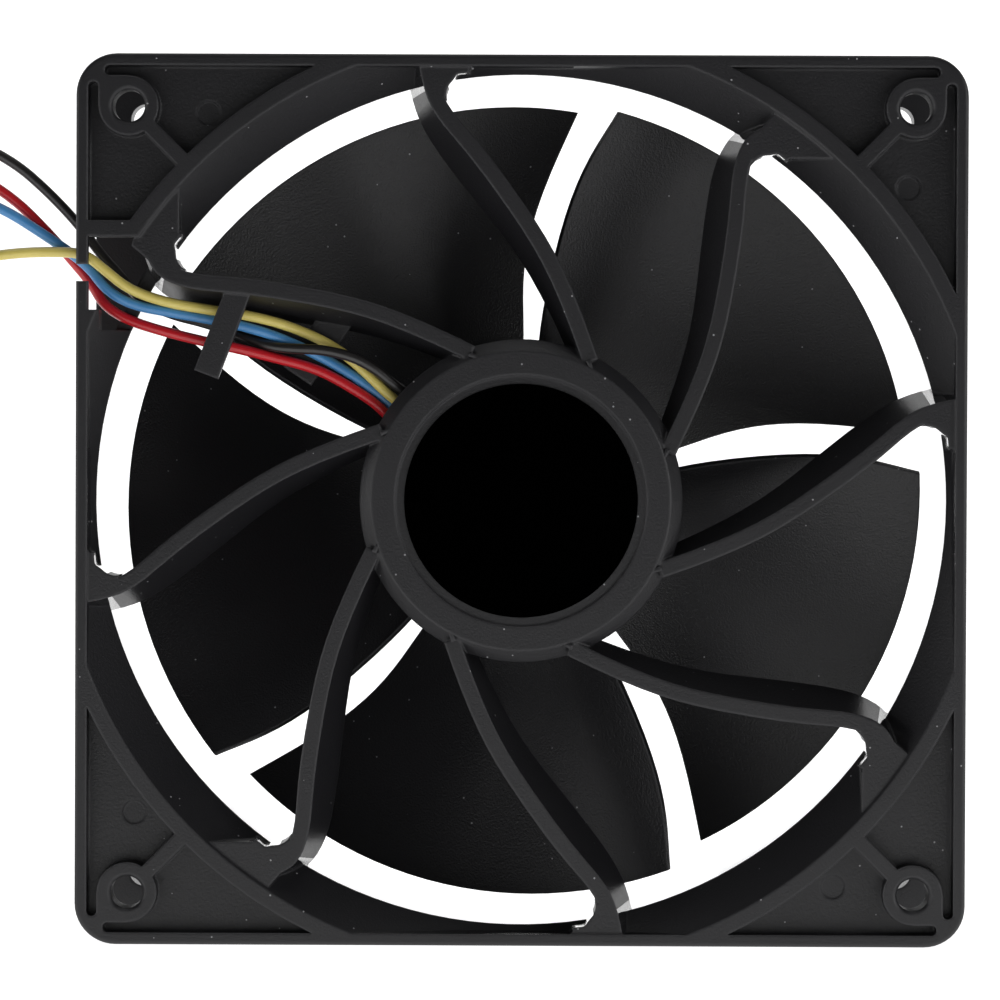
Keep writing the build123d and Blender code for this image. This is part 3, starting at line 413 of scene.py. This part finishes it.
tooth_low = (BAND_INSIDE_X[0] + TOOTH_PITCH / 2, strap_y - TOOTH_HALF_WIDTH, strap_high.z - 0.00005)
tooth_high = (BAND_INSIDE_X[0] + TOOTH_PITCH, strap_y + TOOTH_HALF_WIDTH, strap_high.z + 0.00010)
teeth = start_block("strap_teeth", tooth_low, tooth_high)
bpy.ops.object.mode_set(mode="OBJECT")
row = teeth.modifiers.new("row", "ARRAY")
row.count = TEETH
row.use_relative_offset = False
row.use_constant_offset = True
row.constant_offset_displace = (TOOTH_PITCH, 0, 0)
bpy.ops.object.modifier_apply(modifier=row.name)
bpy.ops.object.mode_set(mode="EDIT")
finish_piece(teeth, 0.00003)

# %% [markdown]
# ## Moulding fins
# Where each vane's front edge runs out on the motor base, the mould leaves a thin pointed fin that
# lies on the flat ring. One is shaped from a flat block whose end is squeezed to a point, and the
# same few steps make the other seven round the axis.

# %% Moulding fins on the motor base
FINS = 8
FIN_ROOT_R = 0.0208
FIN_TIP_R = 0.0186
FIN_TURN = radians(-7.0)
FIN_FIRST = radians(19.6)
FIN_HEIGHT = 0.00022                                # above the ring, at the root
FIN_HALF_WIDTH = 0.00035
FIN_SUNK = 0.0006                                   # into the ring
TIP_SQUEEZE = (1, 0.3, 0.06)
TIP_SINK = 0.00015
ROOT_SINK = 0.0002


def on_face(radius, angle):
    """Point at this radius and angle on the outlet face."""
    return Vector((radius * cos(angle), OUTLET_Y, AXIS.z + radius * sin(angle)))


def moulding_fin(angle):
    """Pointed fin whose root is at this angle."""
    root = on_face(FIN_ROOT_R, angle)
    tip = on_face(FIN_TIP_R, angle + FIN_TURN)
    fin = start_block("moulding_fin", (0, -FIN_HEIGHT, -FIN_HALF_WIDTH),
                      ((tip - root).length, FIN_SUNK, FIN_HALF_WIDTH))
    faces_where(lambda c, n: n.x > 0.9)
    bpy.ops.transform.resize(value=TIP_SQUEEZE)
    bpy.ops.transform.translate(value=(0, TIP_SINK, 0))
    faces_where(lambda c, n: n.x < -0.9)
    bpy.ops.transform.translate(value=(0, ROOT_SINK, 0))
    bpy.ops.object.mode_set(mode="OBJECT")
    along = (tip - root).normalized()
    inward = Vector((0, 1, 0))
    stand = Matrix((along, inward, along.cross(inward))).transposed().to_4x4()
    stand.translation = root
    fin.data.transform(stand)
    bpy.ops.object.mode_set(mode="EDIT")
    return finish_piece(fin, 0.00004)


fins = [moulding_fin(FIN_FIRST + 2 * pi * i / FINS) for i in range(FINS)]

# %% [markdown]
# ## Finishes
# Nearly everything in view is black moulded plastic, so its look is all in small things: a fine
# grain, slightly softer corners, a little dust and a gloss that changes where the mould was
# polished. These effects are node groups, built once and placed in each material.

# %% Node helpers


def add(tree, kind, label, **values):
    """A node with some of its inputs set, and its properties where the name has no such input."""
    node = tree.nodes.new("ShaderNode" + kind)
    node.label = label
    for name, value in values.items():
        socket = node.inputs.get(name.replace("_", " "))
        if socket is not None:
            socket.default_value = value
        else:
            setattr(node, name, value)
    return node


def group(name, inputs, outputs):
    """An empty node group with float inputs (name, default) and outputs (name, socket type)."""
    tree = bpy.data.node_groups.new(name, "ShaderNodeTree")
    sockets = tree.interface
    for label, default in inputs:
        made = sockets.new_socket(label, in_out="INPUT", socket_type="NodeSocketFloat")
        made.default_value = default
    for label, kind in outputs:
        sockets.new_socket(label, in_out="OUTPUT", socket_type="NodeSocket" + kind)
    return tree, tree.nodes.new("NodeGroupInput"), tree.nodes.new("NodeGroupOutput")


def place_group(tree, name, **values):
    """One of the node groups, with some of its inputs set."""
    node = tree.nodes.new("ShaderNodeGroup")
    node.node_tree = bpy.data.node_groups[name]
    for label, value in values.items():
        node.inputs[label.replace("_", " ")].default_value = value
    return node


def start_material(name):
    """A material, its node tree and its shader."""
    material = bpy.data.materials.new(name)
    material.use_nodes = True
    return material, material.node_tree, material.node_tree.nodes["Principled BSDF"]


def mix_colour(tree, label, first, second):
    """Mix node whose two colours are set here, and whose factor is linked by the caller."""
    node = add(tree, "Mix", label, data_type="RGBA")
    node.inputs[6].default_value = (*first, 1)
    node.inputs[7].default_value = (*second, 1)
    return node


def spread(tree, label, source, low, high):
    """A 0 to 1 value spread from low to high."""
    node = add(tree, "MapRange", label)
    node.inputs["To Min"].default_value = low
    node.inputs["To Max"].default_value = high
    tree.links.new(source, node.inputs["Value"])
    return node.outputs["Result"]


def relief(tree, shader, label, height, depth):
    """Bump of this depth on the shader."""
    bump = add(tree, "Bump", label, Strength=1.0, Distance=depth)
    tree.links.new(height, bump.inputs["Height"])
    tree.links.new(bump.outputs["Normal"], shader.inputs["Normal"])
    return bump


def dress(material, *names):
    """Give CAD nodes or new pieces this material."""
    for name in names:
        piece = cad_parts.get(name) or bpy.data.objects[name]
        if not piece.material_slots:
            piece.data.materials.append(material)
        for place in piece.material_slots:
            place.material = material
    print(material.name, "on", ", ".join(names))


# %% Grain: a fine uneven surface and a slow change of shade
tree, given, made = group("grain", [("Scale", 2600.0), ("Slow Scale", 60.0)],
                          [("Height", "Float"), ("Shade", "Float"), ("Blotch", "Float")])
place = add(tree, "TexCoord", "place")
fine = add(tree, "TexNoise", "fine grain", Detail=3.0, Roughness=0.6)
slow = add(tree, "TexNoise", "slow change", Detail=2.0)
for node, scale in ((fine, "Scale"), (slow, "Slow Scale")):
    tree.links.new(place.outputs["Object"], node.inputs["Vector"])
    tree.links.new(given.outputs[scale], node.inputs["Scale"])
both = add(tree, "Math", "both", operation="MULTIPLY_ADD")
both.inputs[1].default_value = 0.25
tree.links.new(slow.outputs["Fac"], both.inputs[0])
tree.links.new(fine.outputs["Fac"], both.inputs[2])
tree.links.new(both.outputs[0], made.inputs["Height"])
tree.links.new(fine.outputs["Fac"], made.inputs["Shade"])
tree.links.new(slow.outputs["Fac"], made.inputs["Blotch"])
print("group:", tree.name)

# %% Dust: sparse pale specks
tree, given, made = group("dust", [("Scale", 900.0), ("Size", 0.11), ("Share", 0.08)],
                          [("Mask", "Float")])
place = add(tree, "TexCoord", "place")
cells = add(tree, "TexVoronoi", "cells")
tree.links.new(place.outputs["Object"], cells.inputs["Vector"])
tree.links.new(given.outputs["Scale"], cells.inputs["Scale"])
near = add(tree, "Math", "near the middle of a cell", operation="LESS_THAN")
tree.links.new(cells.outputs["Distance"], near.inputs[0])
tree.links.new(given.outputs["Size"], near.inputs[1])
parts = add(tree, "SeparateColor", "one number for each cell")
tree.links.new(cells.outputs["Color"], parts.inputs["Color"])
few = add(tree, "Math", "only some cells", operation="LESS_THAN")
tree.links.new(parts.outputs["Red"], few.inputs[0])
tree.links.new(given.outputs["Share"], few.inputs[1])
mask = add(tree, "Math", "specks", operation="MULTIPLY")
tree.links.new(near.outputs[0], mask.inputs[0])
tree.links.new(few.outputs[0], mask.inputs[1])
tree.links.new(mask.outputs[0], made.inputs["Mask"])
print("group:", tree.name)

# %% Soft corners: normals that turn round each edge, and a mask of where they do
tree, given, made = group("soft_corners", [("Radius", 0.0005)],
                          [("Normal", "Vector"), ("Edge", "Float")])
rounded = add(tree, "Bevel", "rounded normal", samples=4)
tree.links.new(given.outputs["Radius"], rounded.inputs["Radius"])
flat = add(tree, "NewGeometry", "true normal")
agree = add(tree, "VectorMath", "how far they agree", operation="DOT_PRODUCT")
tree.links.new(rounded.outputs["Normal"], agree.inputs[0])
tree.links.new(flat.outputs["Normal"], agree.inputs[1])
edge = add(tree, "MapRange", "edge")
edge.inputs["From Min"].default_value = 0.995
edge.inputs["From Max"].default_value = 0.80
tree.links.new(agree.outputs["Value"], edge.inputs["Value"])
tree.links.new(rounded.outputs["Normal"], made.inputs["Normal"])
tree.links.new(edge.outputs["Result"], made.inputs["Edge"])
print("group:", tree.name)

# %% Bore: a mask of the duct's wall, which a polished core has moulded
BORE_R = 0.0572
BORE_REACH = 0.0011
tree, given, made = group("bore", [], [("Mask", "Float")])
place = add(tree, "TexCoord", "place")
centred = add(tree, "VectorMath", "from the axis", operation="SUBTRACT")
centred.inputs[1].default_value = (0, 0, AXIS.z)
across = add(tree, "VectorMath", "square to the axis", operation="MULTIPLY")
across.inputs[1].default_value = (1, 0, 1)
radius = add(tree, "VectorMath", "radius", operation="LENGTH")
at_wall = add(tree, "Math", "at the wall", operation="COMPARE")
at_wall.inputs[1].default_value = BORE_R
at_wall.inputs[2].default_value = BORE_REACH
facing = add(tree, "NewGeometry", "surface")
parts = add(tree, "SeparateXYZ", "direction")
upright = add(tree, "Math", "along the axis", operation="COMPARE")
upright.inputs[1].default_value = 0.0
upright.inputs[2].default_value = 0.3
mask = add(tree, "Math", "bore wall", operation="MULTIPLY")
tree.links.new(place.outputs["Object"], centred.inputs[0])
tree.links.new(centred.outputs["Vector"], across.inputs[0])
tree.links.new(across.outputs["Vector"], radius.inputs[0])
tree.links.new(radius.outputs["Value"], at_wall.inputs[0])
tree.links.new(facing.outputs["True Normal"], parts.inputs["Vector"])
tree.links.new(parts.outputs["Y"], upright.inputs[0])
tree.links.new(at_wall.outputs[0], mask.inputs[0])
tree.links.new(upright.outputs[0], mask.inputs[1])
tree.links.new(mask.outputs[0], made.inputs["Mask"])
print("group:", tree.name)

# %% [markdown]
# ### Moulded plastic
# Satin black plastic: a dark base that is never one colour, a painted highlight that makes each
# edge a little paler where light would catch it, and a grain that catches the light as tiny
# sparkles. The duct's bore and the impeller come from a more polished mould than the flanges.

# %% Moulded plastic
EDGE_HIGHLIGHT_GAIN = 1.7                                     # painted edge highlight, as a gain on the pale colour
EDGE_HIGHLIGHT_LIFT = 0.006
DUST_COLOUR = (0.30, 0.30, 0.31)
GLOSS_CHANGE = 0.07
BORE_ROUGHNESS = 0.14


def moulded(name, dark, pale, roughness, grain_scale, grain_depth,
            corner=0.0005, dust=0.08, shine=0.5, bore=False):
    """Material of a moulded part, from its two nearly equal colours and its grain."""
    material, tree, shader = start_material(name)
    grain = place_group(tree, "grain", Scale=grain_scale)
    specks = place_group(tree, "dust", Share=dust)
    corners = place_group(tree, "soft_corners", Radius=corner)
    body = mix_colour(tree, "body colour", dark, pale)
    tree.links.new(grain.outputs["Blotch"], body.inputs[0])
    # Painted highlight: edges are painted paler where the rounded corners would catch the light.
    edge_highlight = mix_colour(tree, "painted edge highlight", dark,
                      [min(1, value * EDGE_HIGHLIGHT_GAIN + EDGE_HIGHLIGHT_LIFT) for value in pale])
    tree.links.new(corners.outputs["Edge"], edge_highlight.inputs[0])
    tree.links.new(body.outputs[2], edge_highlight.inputs[6])
    dusty = mix_colour(tree, "dust", dark, DUST_COLOUR)
    tree.links.new(specks.outputs["Mask"], dusty.inputs[0])
    tree.links.new(edge_highlight.outputs[2], dusty.inputs[6])
    tree.links.new(dusty.outputs[2], shader.inputs["Base Color"])
    gloss = spread(tree, "roughness", grain.outputs["Shade"],
                   roughness - GLOSS_CHANGE, roughness + GLOSS_CHANGE)
    tree.links.new(gloss, shader.inputs["Roughness"])
    shader.inputs["Specular IOR Level"].default_value = shine
    bump = relief(tree, shader, "grain", grain.outputs["Height"], grain_depth)
    tree.links.new(corners.outputs["Normal"], bump.inputs["Normal"])
    if bore:
        wall = place_group(tree, "bore").outputs["Mask"]
        shader.inputs["Coat Roughness"].default_value = 0.10
        tree.links.new(wall, shader.inputs["Coat Weight"])
        smoother = spread(tree, "smoother in the bore", wall, 1.0, 0.05)
        tree.links.new(smoother, bump.inputs["Strength"])
        polished = add(tree, "Math", "polished roughness", operation="MULTIPLY")
        tree.links.new(gloss, polished.inputs[0])
        tree.links.new(smoother, polished.inputs[1])
        least = add(tree, "Math", "least roughness", operation="MAXIMUM")
        least.inputs[1].default_value = BORE_ROUGHNESS
        tree.links.new(polished.outputs[0], least.inputs[0])
        tree.links.new(least.outputs[0], shader.inputs["Roughness"])
    return material


dress(moulded("satin_black_frame", (0.0080, 0.0078, 0.0090), (0.0130, 0.0127, 0.0148),
              0.38, 3000, 0.000040, bore=True), "frame_housing", *[fin.name for fin in fins])
dress(moulded("satin_black_impeller", (0.0070, 0.0068, 0.0080), (0.0120, 0.0117, 0.0137),
              0.34, 3600, 0.000120, corner=0.0004, dust=0.05), "impeller")
dress(moulded("matt_black_film", (0.0001, 0.0001, 0.0001), (0.0003, 0.0003, 0.0003),
              0.60, 5200, 0.000004, corner=0.0001, dust=0.0, shine=0.0), "rear_label")

# name, dark, pale, roughness, grain scale, grain depth, corner, and the pieces that have it
SMALL_MOULDINGS = [
    ("plug_nylon", (0.010, 0.010, 0.011), (0.018, 0.018, 0.019), 0.46, 3400, 0.000012, 0.0002,
     ["plug_shell"]),
    ("strap_nylon", (0.012, 0.012, 0.012), (0.020, 0.020, 0.020), 0.38, 3000, 0.000010, 0.0002,
     ["strap_band", "strap_head", "strap_teeth"]),
    ("natural_nylon", (0.62, 0.60, 0.52), (0.70, 0.68, 0.60), 0.50, 3000, 0.000010, 0.0002,
     ["bobbin_front", "bobbin_rear"]),
    ("bonded_ferrite", (0.035, 0.033, 0.031), (0.060, 0.057, 0.054), 0.62, 5200, 0.000030, 0.0002,
     ["rotor_magnet"]),
    ("chip_moulding", (0.010, 0.010, 0.010), (0.020, 0.020, 0.021), 0.50, 6500, 0.000008, 0.0001,
     ["driver_ic", "switch_transistor", "hall_sensor"]),
    ("chip_ceramic", (0.050, 0.045, 0.040), (0.120, 0.110, 0.095), 0.45, 5200, 0.000008, 0.0001,
     ["board_resistors"]),
]
for *look, corner, names in SMALL_MOULDINGS:
    dress(moulded(*look, corner=corner), *names)

# %% [markdown]
# ### Lead insulation
# Soft vinyl over a stranded core: glossy, with the strands showing through as a faint unevenness.
# A soft coat over a clear colour comes nearer to it than a plain glossy colour.

# %% Lead insulation


def vinyl(name, deep, clear):
    """Glossy vinyl: two close colours, a slow unevenness and a thin coat."""
    material, tree, shader = start_material(name)
    shader.inputs["Roughness"].default_value = 0.34
    shader.inputs["Coat Roughness"].default_value = 0.18
    grain = place_group(tree, "grain", Scale=1500, Slow_Scale=420)
    colour = mix_colour(tree, "insulation", deep, clear)
    tree.links.new(grain.outputs["Blotch"], colour.inputs[0])
    tree.links.new(colour.outputs[2], shader.inputs["Base Color"])
    coat = spread(tree, "coat", grain.outputs["Shade"], 0.15, 0.45)
    tree.links.new(coat, shader.inputs["Coat Weight"])
    relief(tree, shader, "strands under the skin", grain.outputs["Height"], 0.00003)
    return material


VINYL = {"black": ((0.010, 0.009, 0.009), (0.022, 0.020, 0.020)),
         "red": ((0.50, 0.006, 0.012), (0.66, 0.012, 0.022)),
         "blue": ((0.045, 0.20, 0.46), (0.075, 0.29, 0.60)),
         "yellow": ((0.62, 0.50, 0.105), (0.78, 0.66, 0.19))}
for colour, (deep, clear) in VINYL.items():
    dress(vinyl("vinyl_" + colour, deep, clear), "lead_" + colour + "_wire")

# %% [markdown]
# ### Metals
# The inner metals differ in colour and in the marks of how they were made: turned brass and the
# bearing races carry fine rings round the axis, the windings show their turns, and the ground
# shaft and the lamination stack have marks square to the axis. Rings and sheets are wave textures
# centred on the fan's axis.

# %% Metals


def metal(name, dark, bright, roughness, pattern=None, period=0.0003, depth=0.000006):
    """Metal with marks: "rings" round the fan's axis, "sheets" square to it, or plain grain."""
    material, tree, shader = start_material(name)
    shader.inputs["Metallic"].default_value = 1.0
    grain = place_group(tree, "grain", Scale=3200, Slow_Scale=300)
    colour = mix_colour(tree, "metal", dark, bright)
    height = grain.outputs["Height"]
    if pattern:
        place = add(tree, "TexCoord", "place")
        centred = add(tree, "Mapping", "centred on the axis", vector_type="POINT")
        centred.inputs["Location"].default_value = (0, 0, -AXIS.z)
        wave = add(tree, "TexWave", pattern, wave_type="RINGS" if pattern == "rings" else "BANDS",
                   Scale=pi / 10 / period, Distortion=0.4)
        wave.rings_direction = "Y"
        wave.bands_direction = "Y"
        tree.links.new(place.outputs["Object"], centred.inputs["Vector"])
        tree.links.new(centred.outputs["Vector"], wave.inputs["Vector"])
        height = wave.outputs["Fac"]
    tree.links.new(height, colour.inputs[0])
    tree.links.new(colour.outputs[2], shader.inputs["Base Color"])
    gloss = spread(tree, "roughness", grain.outputs["Shade"], roughness - 0.06, roughness + 0.08)
    tree.links.new(gloss, shader.inputs["Roughness"])
    relief(tree, shader, "marks", height, depth)
    return material


ENDS = ("front", "rear")
races = [f"{end}_bearing_{piece}" for end in ENDS for piece in ("outer_race", "inner_race", "balls")]
cages = [f"{end}_bearing_{piece}" for end in ENDS for piece in ("cage", "shields")]

# name, dark, bright, roughness, then the marks where there are any, and the pieces that have it
METALS = [
    (("turned_brass", (0.62, 0.44, 0.16), (0.80, 0.62, 0.28), 0.28, "rings", 0.00012),
     ["shaft_boss", "bearing_tube"]),
    (("ground_steel", (0.60, 0.60, 0.61), (0.74, 0.74, 0.75), 0.18, "sheets", 0.00010), ["shaft"]),
    (("spring_steel", (0.36, 0.36, 0.38), (0.52, 0.52, 0.54), 0.30),
     ["shaft_clip", "preload_spring", "spring_washer"]),
    (("zinc_plated_steel", (0.48, 0.48, 0.50), (0.62, 0.62, 0.63), 0.34), ["rotor_yoke"]),
    (("polished_bearing_steel", (0.62, 0.62, 0.64), (0.76, 0.76, 0.78), 0.12, "rings", 0.00008), races),
    (("pressed_steel", (0.46, 0.46, 0.47), (0.62, 0.62, 0.62), 0.26), cages),
    (("lamination_steel", (0.10, 0.10, 0.11), (0.36, 0.36, 0.38), 0.42, "sheets", 0.0005, 0.00006),
     ["stator_core"]),
    (("enamelled_copper", (0.20, 0.055, 0.018), (0.62, 0.24, 0.09), 0.24, "rings", 0.00022, 0.00006),
     ["windings"]),
    (("tinned_metal", (0.56, 0.55, 0.53), (0.74, 0.73, 0.70), 0.22), ["winding_pins", "crimped_sockets"]),
    (("solder", (0.48, 0.48, 0.50), (0.68, 0.68, 0.70), 0.30), ["solder_joints"]),
    (("drawn_aluminium", (0.56, 0.56, 0.58), (0.70, 0.70, 0.71), 0.30, "sheets", 0.0003),
     ["board_capacitor"]),
]
for look, names in METALS:
    dress(metal(*look), *names)

# %% [markdown]
# ### Circuit board
# Green lacquer over copper tracks. The tracks show as slightly paler, raised lines, so a brick
# pattern laid square to the fan's axis stands for them, with its joints as the gaps between tracks.

# %% Circuit board
board, tree, shader = start_material("green_lacquered_board")
place = add(tree, "TexCoord", "place")
laid = add(tree, "Mapping", "laid on the board")
laid.inputs["Rotation"].default_value = (pi / 2, 0, 0)
tracks = add(tree, "TexBrick", "tracks", Scale=420.0, offset=0.37, squash=1.4)
tracks.inputs["Color1"].default_value = (0.012, 0.120, 0.045, 1)
tracks.inputs["Color2"].default_value = (0.018, 0.160, 0.060, 1)
tracks.inputs["Mortar"].default_value = (0.006, 0.060, 0.024, 1)
tree.links.new(place.outputs["Object"], laid.inputs["Vector"])
tree.links.new(laid.outputs["Vector"], tracks.inputs["Vector"])
tree.links.new(tracks.outputs["Color"], shader.inputs["Base Color"])
grain = place_group(tree, "grain", Scale=2800)
gloss = spread(tree, "roughness", grain.outputs["Shade"], 0.22, 0.40)
tree.links.new(gloss, shader.inputs["Roughness"])
relief(tree, shader, "tracks", tracks.outputs["Fac"], 0.00003).invert = True
dress(board, "circuit_board")

# %% [markdown]
# ## Floor and light
# The floor is a white sheet that rises behind the fan in one soft curve, as in a small studio. It
# glows a little, so that it stays pure white, and it lights the fan from below and through the
# duct. The front is lit dimly, because satin black plastic shows its shape by soft reflections.

# %% Floor
SWEEP_WIDTH = 3.0
SWEEP_FRONT = -1.4
SWEEP_BACK = 1.1
SWEEP_RISE = 0.5
SWEEP_HEIGHT = 1.8
SWEEP_STEPS = 16
FLOOR_DROP = 0.00002                                # keeps the fan's lowest face clear of the sheet

profile = [(SWEEP_FRONT, 0.0), (SWEEP_BACK - SWEEP_RISE, 0.0)]
for step in range(1, SWEEP_STEPS + 1):
    angle = pi / 2 * step / SWEEP_STEPS
    profile.append((SWEEP_BACK - SWEEP_RISE + SWEEP_RISE * sin(angle),
                    SWEEP_RISE - SWEEP_RISE * cos(angle)))
profile.append((SWEEP_BACK, SWEEP_HEIGHT))
corners = [(x, y, z - FLOOR_DROP) for x in (-SWEEP_WIDTH / 2, SWEEP_WIDTH / 2) for y, z in profile]
rows = len(profile)
sheets = [(rows + i, rows + i + 1, i + 1, i) for i in range(rows - 1)]
floor_data = bpy.data.meshes.new("studio_floor")
floor_data.from_pydata(corners, [], sheets)
studio_floor = bpy.data.objects.new("studio_floor", floor_data)
bpy.context.collection.objects.link(studio_floor)
for polygon in floor_data.polygons:
    polygon.use_smooth = True

GLOW_FROM_Y = -0.80                                 # where the glow starts to grow, and is full
GLOW_FULL_Y = -0.20

paper, tree, shader = start_material("studio_paper")
shader.inputs["Base Color"].default_value = (0.80, 0.80, 0.80, 1)
shader.inputs["Roughness"].default_value = 0.9
shader.inputs["Specular IOR Level"].default_value = 0.1
shader.inputs["Emission Strength"].default_value = 1.0
place = add(tree, "TexCoord", "place")
parts = add(tree, "SeparateXYZ", "how far back")
glow = add(tree, "MapRange", "glow")
glow.inputs["From Min"].default_value = GLOW_FROM_Y
glow.inputs["From Max"].default_value = GLOW_FULL_Y
tree.links.new(place.outputs["Object"], parts.inputs["Vector"])
tree.links.new(parts.outputs["Y"], glow.inputs["Value"])
white = mix_colour(tree, "paper glow", (0.30, 0.30, 0.31), (0.95, 0.95, 0.95))
tree.links.new(glow.outputs["Result"], white.inputs[0])
tree.links.new(white.outputs[2], shader.inputs["Emission Color"])
floor_data.materials.append(paper)
print("floor rows:", rows)

# %% Lights


def soft_light(name, place, target, size, power):
    """A square soft box that shines from one place to another."""
    data = bpy.data.lights.new(name, "AREA")
    data.shape = "SQUARE"
    data.size = size
    data.energy = power
    lamp = bpy.data.objects.new(name, data)
    lamp.location = place
    lamp.rotation_euler = (Vector(target) - Vector(place)).to_track_quat("-Z", "Y").to_euler()
    bpy.context.collection.objects.link(lamp)


soft_light("key_light", (0.70, -0.45, 0.20), AXIS, 0.40, 1.6)
soft_light("left_light", (-0.75, -0.20, 0.10), AXIS, 0.40, 1.2)
soft_light("top_light", (0.0, -0.10, 0.85), AXIS, 0.50, 1.0)

world = bpy.data.worlds.new("studio_air")
world.use_nodes = True
air = world.node_tree.nodes["Background"]
air.inputs["Color"].default_value = (1.0, 1.0, 1.0, 1)
air.inputs["Strength"].default_value = 0.05
bpy.context.scene.world = world
bpy.context.scene.view_settings.view_transform = "Standard"

# %% Bring the scene up to date
bpy.context.view_layer.update()
